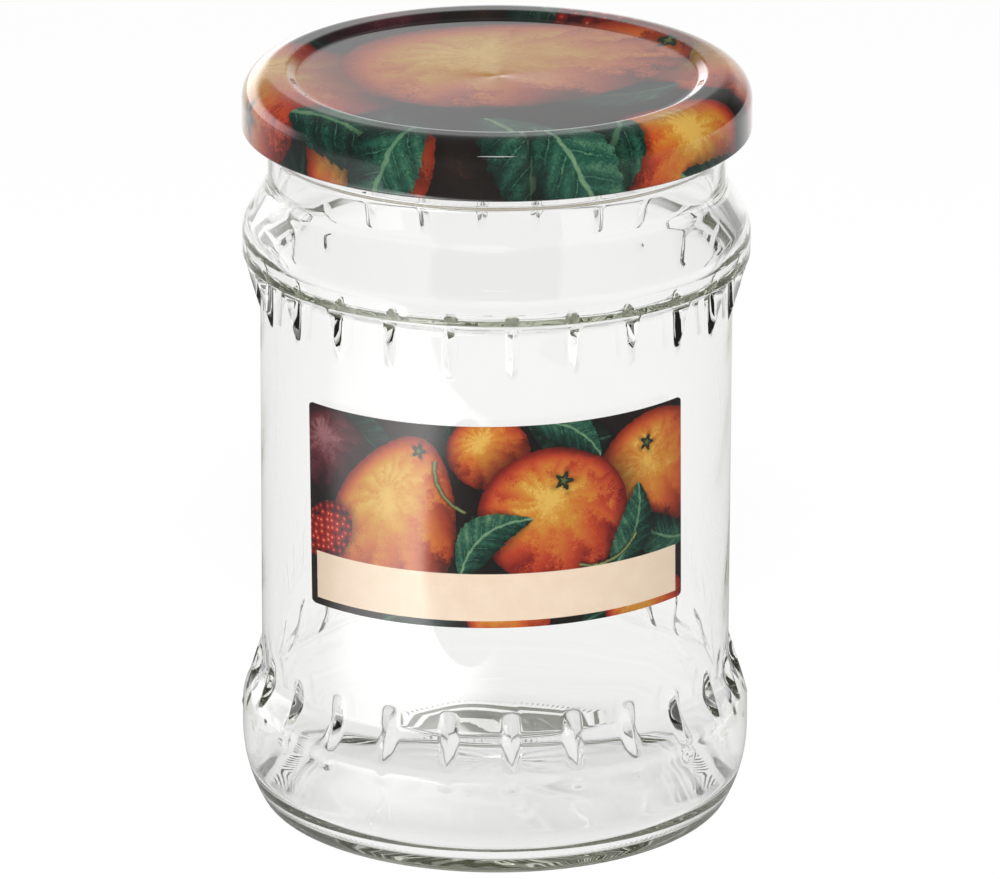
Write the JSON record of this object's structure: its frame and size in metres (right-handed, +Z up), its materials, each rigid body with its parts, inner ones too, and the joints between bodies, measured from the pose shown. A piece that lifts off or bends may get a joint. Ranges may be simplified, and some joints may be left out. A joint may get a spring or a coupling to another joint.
{
  "type": "jam jar",
  "caption": "Clear fluted glass preserving jar with bulged shoulder and heel, printed twist-off lug lid, sealing ring and wrap label.",
  "frame": {"origin": "middle of the base, on the surface that the jar stands on", "axes": "+Z up along the jar's axis; the label faces -Y; +X to the right of someone who faces the label"},
  "size_m": [0.0856, 0.0856, 0.1281],
  "materials": {
    "clear_glass": "clear flint glass with a faint green-grey edge",
    "printed_tinplate": "gloss lacquer over a printed fruit pattern, cream lacquer inside",
    "sealing_compound": "matt cream compound",
    "label_paper": "semi-gloss printed paper with a blank pale writing panel"
  },
  "bodies": {
    "jar": {"glass_jar": "clear_glass", "label": "label_paper"},
    "seal": {"sealing_ring": "sealing_compound"},
    "lid": {"lid_shell": "printed_tinplate"}
  },
  "joints": [
    {"name": "lid_lift", "type": "slide", "parent": "jar", "child": "seal", "axis": [0, 0, 1], "range_m": [0, 0.09]},
    {"name": "lid_turn", "type": "hinge", "parent": "seal", "child": "lid", "pos_m": [0, 0, 0.12], "axis": [0, 0, 1], "range_deg": [-42, 0]}
  ]
}
